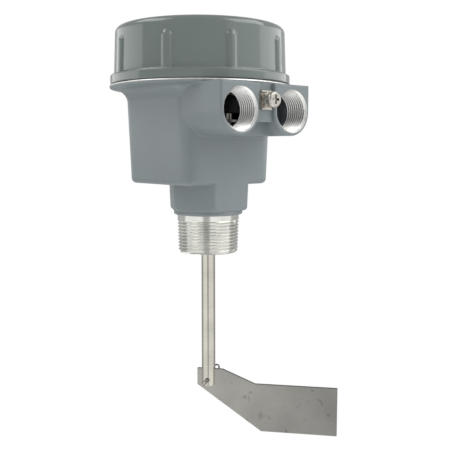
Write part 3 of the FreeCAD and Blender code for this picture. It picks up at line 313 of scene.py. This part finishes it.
def process_thread():
    """Process bushing with its thread, in place of the solid whose taper is smooth."""
    low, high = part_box("process_bushing")
    length = -low[2]

    def radius_at(along, phase):
        if along > length - PLAIN_BAND:
            return THREAD_R
        below_band = length - PLAIN_BAND - along
        crest = THREAD_R - below_band * THREAD_TAPER
        run_out = min(1, below_band / THREAD_RUN_OUT)
        radius = crest - THREAD_DEPTH * run_out * (1 - ridge(phase))
        end = THREAD_R - (length - PLAIN_BAND) * THREAD_TAPER
        return min(radius, end - THREAD_CHAMFER + along)

    inside = [
        (SPIGOT_R, length),
        (SPIGOT_R, length + high[2]),
        (SEAT_R, length + high[2]),
        (SEAT_R, length + UPPER_SEAT_Z),
        (MID_BORE_R, length + UPPER_SEAT_Z),
        (MID_BORE_R, length + LOWER_SEAT_Z),
        (SEAT_R, length + LOWER_SEAT_Z),
        (SEAT_R, 0),
    ]
    points, faces = threaded_ring(radius_at, length, THREAD_PITCH, inside, upright(0, 0, low[2]))
    made = piece("process_thread", points, faces, "machined", ["process_bushing"])
    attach(made, "housing")


def conduit_thread(name, x, length):
    """Thread of a conduit entry, as a ring that lines its bore."""
    def radius_at(along, phase):
        root = CONDUIT_BORE_R - 2 * CONDUIT_CLEAR - along * THREAD_TAPER
        inner = root - CONDUIT_THREAD_DEPTH * ridge(phase)
        mouth = CONDUIT_MOUTH_R - CONDUIT_CLEAR - along * CONDUIT_MOUTH_SLOPE
        return max(inner, mouth) if along < CONDUIT_LEAD else inner

    outside = [
        (CONDUIT_BORE_R - CONDUIT_CLEAR, length),
        (CONDUIT_BORE_R - CONDUIT_CLEAR, CONDUIT_MOUTH_R - CONDUIT_BORE_R),
        (CONDUIT_MOUTH_R - CONDUIT_CLEAR, CONDUIT_CLEAR),
    ]
    place = inward(x, CONDUIT_Z, CONDUIT_FACE_Y)
    points, faces = threaded_ring(radius_at, length, CONDUIT_PITCH, outside, place)
    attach(piece(name, points, faces, "cut_alloy"), "housing")


def screw_thread(wall_r, levels, outward, shift):
    """Lid thread on one of its two walls.

    outward is 1 where it stands out from the wall and -1 where it stands in. shift is part of a pitch.
    """
    low, high = levels
    length = high - low

    def radius_at(along, phase):
        fade = min(1, along / LID_PITCH, (length - along) / LID_PITCH)
        height = LID_THREAD_DEPTH * fade * ridge(phase + low / LID_PITCH + shift)
        return wall_r + outward * (LID_THREAD_ROOT + height)

    back_r = wall_r + outward * LID_THREAD_BACK
    back = [(back_r, length), (back_r, 0)]
    return threaded_ring(radius_at, length, LID_PITCH, back, upright(0, LID_AXIS_Y, low))


def collar_thread():
    """Outside thread of the collar that the lid screws onto."""
    points, faces = screw_thread(COLLAR_R, COLLAR_THREAD_Z, outward=1, shift=0)
    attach(piece("collar_thread", points, faces, "body_paint"), "housing")


def lid_thread():
    """Inside thread of the lid, half a pitch from the collar's."""
    points, faces = screw_thread(LID_BORE_R, LID_THREAD_Z, outward=-1, shift=0.5)
    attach(piece("lid_thread", points, faces, "lid_paint"), "lid")


def rim_land():
    """Bare metal strip that follows the rounded upper edge of the rim."""
    def corner(angle, away):
        reach = RIM_EDGE_R + away
        return RIM_R - RIM_EDGE_R + reach * math.cos(angle), reach * math.sin(angle) - RIM_EDGE_R

    foot = -RIM_EDGE_R - LAND_DROP
    outer = [(RIM_R + LAND_PROUD, foot)] + [corner(angle, LAND_PROUD) for angle in LAND_ANGLES]
    inner = [corner(angle, -LAND_DEEP) for angle in reversed(LAND_ANGLES)] + [(RIM_R - LAND_DEEP, foot)]
    points, faces = plain_ring(outer + inner, upright(0, LID_AXIS_Y, DECK_Z))
    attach(piece("rim_land", points, faces, "cut_alloy"), "housing")


def spring_hook():
    """Open loop round a post, from its tip to where the wire leaves for the coils."""
    sweep = SPRING_HOOK_END - SPRING_HOOK_START
    angles = [SPRING_HOOK_START + sweep * k / STEPS_PER_TURN for k in range(STEPS_PER_TURN + 1)]
    return [Vector((math.cos(angle), math.sin(angle), 0)) * SPRING_HOOK_R for angle in angles]


def spring_coils(length):
    """Helix between the hooks of a spring."""
    steps = SPRING_TURNS * STEPS_PER_TURN
    coil_length = length - 2 * SPRING_HOOK_REACH
    coils = []
    for k in range(steps + 1):
        angle = 2 * math.pi * k / STEPS_PER_TURN
        along = SPRING_HOOK_REACH + coil_length * k / steps
        coils.append(Vector((along, SPRING_R * math.cos(angle), SPRING_R * math.sin(angle))))
    return coils


def spring_route(length):
    """Middle line of the wire, as (along, side, up), from one hook through the coils to the other."""
    hook = spring_hook()
    coils = spring_coils(length)
    leave = hook[-1]
    arrive = coils[0]
    pull = SPRING_HOOK_R / 2
    leave_pull = (leave - hook[-2]).normalized() * pull
    arrive_pull = Vector((0, 0, pull))
    neck = interpolate_bezier(leave, leave + leave_pull, arrive - arrive_pull, arrive, SPRING_NECK_POINTS)
    near_end = hook + neck[1:-1]
    far_end = [Vector((length - p.x, p.y, -p.z)) for p in reversed(near_end)]
    return near_end + coils + far_end


def wire(route, radius):
    """Round wire along a route, closed at both ends."""
    points = []
    faces = []
    before = None
    across = None
    for k, here in enumerate(route):
        heading = (route[min(k + 1, len(route) - 1)] - route[max(k - 1, 0)]).normalized()
        across = heading.orthogonal() if across is None else across - heading * across.dot(heading)
        across.normalize()
        over = heading.cross(across)
        ring = list(range(len(points), len(points) + WIRE_SIDES))
        for side in range(WIRE_SIDES):
            angle = 2 * math.pi * side / WIRE_SIDES
            points.append(here + (across * math.cos(angle) + over * math.sin(angle)) * radius)
        faces += ring_faces(before, ring) if before else [ring]
        before = ring
    return points, faces + [before]


def middle(node):
    """Middle of a solid's box."""
    low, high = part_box(node)
    return (Vector(low) + Vector(high)) / 2


def return_spring():
    """Extension spring hooked round its posts, with its coils between them, built where the posts stand now.
    """
    level = middle("return_spring").z
    start = middle("fixed_spring_post")
    end = middle("carrier_spring_post")
    start.z = level
    end.z = level
    along = (end - start).normalized()
    up = Vector((0, 0, 1))
    side = up.cross(along)
    length = (end - start).length
    route = [start + along * p.x + side * p.y + up * p.z for p in spring_route(length)]
    points, faces = wire(route, SPRING_WIRE_R)
    finish = "spring_steel"
    made = piece("stretching_return_spring", points, faces, finish, ["return_spring"])
    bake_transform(made)


# Finishes

def shader(name, **values):
    """Material with one Principled shader. values are its sockets that are the same all over."""
    made = bpy.data.materials.new(name)
    made.use_nodes = True
    tree = made.node_tree
    surface = tree.nodes["Principled BSDF"]
    for socket, value in values.items():
        surface.inputs[socket.replace("_", " ")].default_value = value
    return made, tree, surface


def noise(tree, scale, detail=3.0, stretch=(1, 1, 1), turn=0.0):
    """Noise in the object's own space, scale per metre, stretched along its axes."""
    place = tree.nodes.new("ShaderNodeTexCoord")
    mapping = tree.nodes.new("ShaderNodeMapping")
    mapping.vector_type = "TEXTURE"
    mapping.inputs["Rotation"].default_value = (0, 0, turn)
    mapping.inputs["Scale"].default_value = stretch
    texture = tree.nodes.new("ShaderNodeTexNoise")
    texture.inputs["Scale"].default_value = scale
    texture.inputs["Detail"].default_value = detail
    tree.links.new(place.outputs["Object"], mapping.inputs["Vector"])
    tree.links.new(mapping.outputs["Vector"], texture.inputs["Vector"])
    return texture.outputs["Fac"]


def ramp(tree, value, low, high, start=0.35, end=0.65):
    """Colour or grey between two values, as the input goes from start to end."""
    made = tree.nodes.new("ShaderNodeValToRGB")
    for stop, place, colour in zip(made.color_ramp.elements, (start, end), (low, high)):
        stop.position = place
        stop.color = (colour, colour, colour, 1) if isinstance(colour, float) else (*colour, 1)
    tree.links.new(value, made.inputs["Fac"])
    return made.outputs["Color"]


def multiplied(tree, first, *others):
    """Product of colours and greys."""
    result = first
    for other in others:
        made = tree.nodes.new("ShaderNodeMix")
        made.data_type = "RGBA"
        made.blend_type = "MULTIPLY"
        made.inputs["Factor"].default_value = 1.0
        tree.links.new(result, made.inputs[MIX_COLOUR_A])
        tree.links.new(other, made.inputs[MIX_COLOUR_B])
        result = made.outputs[MIX_COLOUR_RESULT]
    return result


def bump(tree, surface, height, distance, below=None):
    """Relief on the surface, over the relief below it if there is one."""
    made = tree.nodes.new("ShaderNodeBump")
    made.inputs["Distance"].default_value = distance
    tree.links.new(height, made.inputs["Height"])
    if below:
        tree.links.new(below, made.inputs["Normal"])
    tree.links.new(made.outputs["Normal"], surface.inputs["Normal"])
    return made.outputs["Normal"]


def painted_crevice_shade(tree, reach):
    """Painted shade: grey that is 1 on open faces and goes dark in slots and corners narrower than the
    reach.
    """
    made = tree.nodes.new("ShaderNodeAmbientOcclusion")
    made.samples = CREVICE_RAYS
    made.only_local = True
    made.inputs["Distance"].default_value = reach
    return ramp(tree, made.outputs["AO"], low=0.12, high=1.0, start=0.45, end=0.85)


def rounded(tree, radius):
    """Normal of the surface as if its corners were rounded off."""
    made = tree.nodes.new("ShaderNodeBevel")
    made.samples = CORNER_RAYS
    made.inputs["Radius"].default_value = radius
    return made.outputs["Normal"]


def edges(tree, width, lift):
    """Grey that is 1 on flat faces and rises to lift on edges, over a width: a painted highlight along the
    edges.
    """
    face = tree.nodes.new("ShaderNodeNewGeometry")
    match = tree.nodes.new("ShaderNodeVectorMath")
    match.operation = "DOT_PRODUCT"
    tree.links.new(rounded(tree, width), match.inputs[0])
    tree.links.new(face.outputs["Normal"], match.inputs[1])
    return ramp(tree, match.outputs["Value"], low=lift, high=1.0, start=0.8, end=0.99)


def painted_top_edge_shade(tree, width):
    """Painted shade: grey that is 1 on upright faces and goes dark along the edges that look up."""
    parts = tree.nodes.new("ShaderNodeSeparateXYZ")
    tree.links.new(rounded(tree, width), parts.inputs["Vector"])
    return ramp(tree, parts.outputs["Z"], low=1.0, high=0.3, start=0.15, end=0.5)


def shades(colour, spread):
    """A darker and a lighter shade of a colour."""
    return tuple(c * (1 - spread) for c in colour), tuple(min(1, c * (1 + spread)) for c in colour)


def paint(name, colour, roughness, coat, coat_roughness, peel, sag, corner):
    """Sprayed enamel: clouds, speckle, edges lightened by a painted highlight, orange peel, sags, and
    corners that the coat rounds.
    """
    made, tree, surface = shader(name, Coat_Weight=coat, Coat_Roughness=coat_roughness)
    cloud = ramp(tree, noise(tree, scale=22, detail=2), *shades(colour, spread=0.035))
    speckle = ramp(tree, noise(tree, scale=1600, detail=1), low=0.95, high=1.0, start=0.3, end=0.6)
    # edges lightened with a painted highlight
    base_with_painted_light = multiplied(tree, cloud, speckle, edges(tree, width=0.8 * MM, lift=1.3))
    tree.links.new(base_with_painted_light, surface.inputs["Base Color"])
    gloss = ramp(tree, noise(tree, scale=40), low=roughness * 0.9, high=roughness * 1.12)
    tree.links.new(gloss, surface.inputs["Roughness"])
    runs = noise(tree, scale=60, detail=2, stretch=(1, 1, 3))
    sags = bump(tree, surface, runs, sag, below=rounded(tree, corner))
    bump(tree, surface, noise(tree, scale=620, detail=2), peel, below=sags)
    return made


def metal(name, colour, roughness, stretch=(1, 1, 1), grain=900, depth=0.01 * MM, spread=0.08, crevice_shade_reach=0.0):
    """Bare metal with tool or rolling marks stretched along the axes, and painted shade of some reach in
    crevices and corners.
    """
    made, tree, surface = shader(name, Metallic=1.0)
    marks = noise(tree, scale=grain, stretch=stretch)
    tarnish = ramp(tree, noise(tree, scale=60, detail=4), *shades(colour, spread))
    shade = multiplied(tree, tarnish, ramp(tree, marks, low=0.9, high=1.0))
    if crevice_shade_reach:
        # painted shade darkens the crevices and corners
        shade = multiplied(tree, shade, painted_crevice_shade(tree, crevice_shade_reach))
    tree.links.new(shade, surface.inputs["Base Color"])
    gloss = ramp(tree, marks, low=roughness * 0.8, high=roughness * 1.25)
    tree.links.new(gloss, surface.inputs["Roughness"])
    bump(tree, surface, marks, depth)
    return made


def vane_sheet(name, colour):
    """Cold-rolled stainless sheet: fine rolling lines along the blade, clouding, scuffs, edges worn and
    lightened by a painted highlight, and painted shade along the edges that look up.
    """
    made, tree, surface = shader(name, Metallic=1.0)
    lines = noise(tree, scale=700, stretch=(0.02, 1, 1), turn=PADDLE_HEADING)
    cloud = ramp(tree, noise(tree, scale=35), *shades(colour, spread=0.08))
    scuff = ramp(tree, noise(tree, scale=150, detail=2), low=0.76, high=1.0, start=0.29, end=0.35)
    streak = ramp(tree, lines, low=0.92, high=1.0)
    # edges lightened by wear and a painted highlight, and upper edges darkened by painted shade
    worn_and_highlit_edges = edges(tree, width=0.7 * MM, lift=1.5)
    top_edge_shade = painted_top_edge_shade(tree, width=0.8 * MM)
    base_with_painted_light = multiplied(tree, cloud, scuff, streak, worn_and_highlit_edges, top_edge_shade)
    tree.links.new(base_with_painted_light, surface.inputs["Base Color"])
    tree.links.new(ramp(tree, lines, low=0.23, high=0.31), surface.inputs["Roughness"])
    bump(tree, surface, lines, 0.008 * MM)
    return made


def moulded(name, colour, roughness, grain, depth, spread):
    """Moulded plastic or rubber with a fine skin."""
    made, tree, surface = shader(name)
    cloud = ramp(tree, noise(tree, scale=90), *shades(colour, spread))
    tree.links.new(cloud, surface.inputs["Base Color"])
    gloss = ramp(tree, noise(tree, scale=60, detail=2), low=roughness * 0.9, high=roughness * 1.1)
    tree.links.new(gloss, surface.inputs["Roughness"])
    bump(tree, surface, noise(tree, scale=grain, detail=2), depth)
    return made


def laminate(name, dark, light):
    """Terminal board: woven glass laminate."""
    made, tree, surface = shader(name, Coat_Weight=0.3)
    weave = noise(tree, scale=1500, detail=1, stretch=(1, 4, 1))
    tree.links.new(ramp(tree, weave, low=dark, high=light), surface.inputs["Base Color"])
    tree.links.new(ramp(tree, weave, low=0.4, high=0.55), surface.inputs["Roughness"])
    bump(tree, surface, weave, 0.02 * MM)
    return made


# Stretch of the marks on turned pieces, which run round the upright axis
TURNED = (1, 1, 0.03)

# Where a metal is given a reach, its crevices and corners get painted shade.
FINISHES = {
    "body_paint": paint(
        "body_paint", (0.239, 0.276, 0.287), roughness=0.36, coat=0.10, coat_roughness=0.12,
        peel=0.02 * MM, sag=0.1 * MM, corner=0.8 * MM),
    "lid_paint": paint(
        "lid_paint", (0.180, 0.218, 0.206), roughness=0.16, coat=1.0, coat_roughness=0.05,
        peel=0.008 * MM, sag=0.3 * MM, corner=1.5 * MM),
    "machined": metal("machined", (0.84, 0.84, 0.80), 0.16, TURNED, grain=120, depth=0.001 * MM),
    "cut_alloy": metal("cut_alloy", (0.95, 0.95, 0.91), 0.38, crevice_shade_reach=1.0 * MM),
    "stainless": metal(
        "stainless", (0.68, 0.655, 0.58), 0.10, TURNED, grain=120, depth=0.0005 * MM, crevice_shade_reach=1.0 * MM),
    "pin_wire": metal("pin_wire", (0.34, 0.32, 0.29), 0.22, crevice_shade_reach=0.8 * MM),
    "vane_steel": vane_sheet("vane_steel", (0.438, 0.432, 0.402)),
    "plated": metal("plated", (0.65, 0.62, 0.56), 0.3, grain=700, crevice_shade_reach=1.2 * MM),
    "bearing_steel": metal("bearing_steel", (0.62, 0.63, 0.64), 0.2, TURNED, grain=140),
    "spring_steel": metal("spring_steel", (0.42, 0.42, 0.41), 0.32),
    "zinc_steel": metal("zinc_steel", (0.66, 0.67, 0.66), 0.36, grain=260, spread=0.14),
    "brass": metal("brass", (0.80, 0.62, 0.28), 0.3, TURNED, grain=160),
    "seal_rubber": moulded(
        "seal_rubber", (0.018, 0.018, 0.019), roughness=0.6, grain=300, depth=0.04 * MM, spread=0.2),
    "friction_lining": moulded(
        "friction_lining", (0.10, 0.085, 0.07), roughness=0.8, grain=1400, depth=0.08 * MM, spread=0.35),
    "black_plastic": moulded(
        "black_plastic", (0.022, 0.022, 0.024), roughness=0.42, grain=500, depth=0.03 * MM, spread=0.15),
    "red_plastic": moulded(
        "red_plastic", (0.42, 0.045, 0.035), roughness=0.38, grain=500, depth=0.02 * MM, spread=0.08),
    "board": laminate("board", dark=(0.16, 0.12, 0.05), light=(0.24, 0.18, 0.08)),
}

# Solids that look different from the rest of their slot
OWN_FINISHES = {"cotter_pin": "pin_wire"}


def dress_solids():
    """Give every solid of the model its own finish, or else its slot's."""
    for entry in frame["record"]["subparts"]:
        mesh = frame["nodes"][entry["node"]].data
        mesh.materials.clear()
        mesh.materials.append(FINISHES[OWN_FINISHES.get(entry["node"], entry["material_slot"])])


# Studio

def aimed(thing, place, target):
    """Puts a thing in its place, looking at a target."""
    thing.location = place
    thing.rotation_euler = (target - place).to_track_quat("-Z", "Y").to_euler()
    bpy.context.scene.collection.objects.link(thing)
    return thing


def camera():
    """Camera in front of the object, to the left of its conduit entries."""
    lens = bpy.data.cameras.new("camera")
    lens.sensor_width = SENSOR
    lens.lens = FOCAL_PIXELS * SENSOR / PICTURE_SIDE
    lens.clip_start = NEAREST_SEEN
    made = bpy.data.objects.new("camera", lens)
    aimed(made, CAMERA_PLACE, CAMERA_PLACE + CAMERA_AHEAD)
    bpy.context.scene.camera = made


def softbox(name, azimuth, elevation, width, height, brightness):
    """Area light aimed at the body, placed round it by degrees right of and above the front view."""
    facing = math.atan2(CAMERA_PLACE.y, CAMERA_PLACE.x) + math.radians(azimuth)
    rise = math.radians(elevation)
    out = Vector((math.cos(facing) * math.cos(rise), math.sin(facing) * math.cos(rise), math.sin(rise)))
    light = bpy.data.lights.new(name, "AREA")
    light.shape = "RECTANGLE"
    light.size = width
    light.size_y = height
    light.energy = math.pi * width * height * brightness
    place = LIGHT_TARGET + out * LIGHT_DISTANCE
    made = aimed(bpy.data.objects.new(name, light), place, LIGHT_TARGET)
    made.visible_camera = False


def show_white(tree, lit, white, output):
    """Plain white where it is seen directly, and lit as usual for light and reflections."""
    path = tree.nodes.new("ShaderNodeLightPath")
    mix = tree.nodes.new("ShaderNodeMixShader")
    tree.links.new(path.outputs["Is Camera Ray"], mix.inputs["Fac"])
    tree.links.new(lit, mix.inputs[MIX_SHADER_A])
    tree.links.new(white, mix.inputs[MIX_SHADER_B])
    tree.links.new(mix.outputs["Shader"], tree.nodes[output].inputs["Surface"])


def floor():
    """Wide pale floor, far below the object."""
    half = FLOOR_SIDE / 2
    mesh = bpy.data.meshes.new("floor")
    corners = [(-half, -half), (half, -half), (half, half), (-half, half)]
    mesh.from_pydata([(x, y, FLOOR_Z) for x, y in corners], [], [(0, 1, 2, 3)])
    made = bpy.data.objects.new("floor", mesh)
    bpy.context.scene.collection.objects.link(made)
    finish, tree, surface = shader("floor", Roughness=0.8)
    tree.links.new(ramp(tree, noise(tree, scale=2), low=0.88, high=0.92), surface.inputs["Base Color"])
    white = tree.nodes.new("ShaderNodeEmission")
    show_white(tree, surface.outputs["BSDF"], white.outputs["Emission"], "Material Output")
    mesh.materials.append(finish)
    made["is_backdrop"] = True


def surroundings():
    """Even white light from all round, with a white background behind the object."""
    world = bpy.data.worlds.new("studio")
    world.use_nodes = True
    tree = world.node_tree
    dim = tree.nodes["Background"]
    dim.inputs["Color"].default_value = WHITE
    dim.inputs["Strength"].default_value = AMBIENT
    white = tree.nodes.new("ShaderNodeBackground")
    white.inputs["Color"].default_value = WHITE
    show_white(tree, dim.outputs["Background"], white.outputs["Background"], "World Output")
    bpy.context.scene.world = world
    bpy.context.scene.view_settings.view_transform = "Standard"


dress_solids()
process_thread()
conduit_thread("conduit_thread_left", -CONDUIT_X, CONDUIT_THREAD_LENGTH_LEFT)
conduit_thread("conduit_thread_right", CONDUIT_X, CONDUIT_THREAD_LENGTH_RIGHT)
collar_thread()
lid_thread()
rim_land()
return_spring()
camera()
for name, light in SOFTBOXES.items():
    softbox(name, *light)
floor()
surroundings()

boxes = {"cad": cad_box, "visual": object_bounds()}
{key: [list(corner) for corner in box] for key, box in boxes.items()}
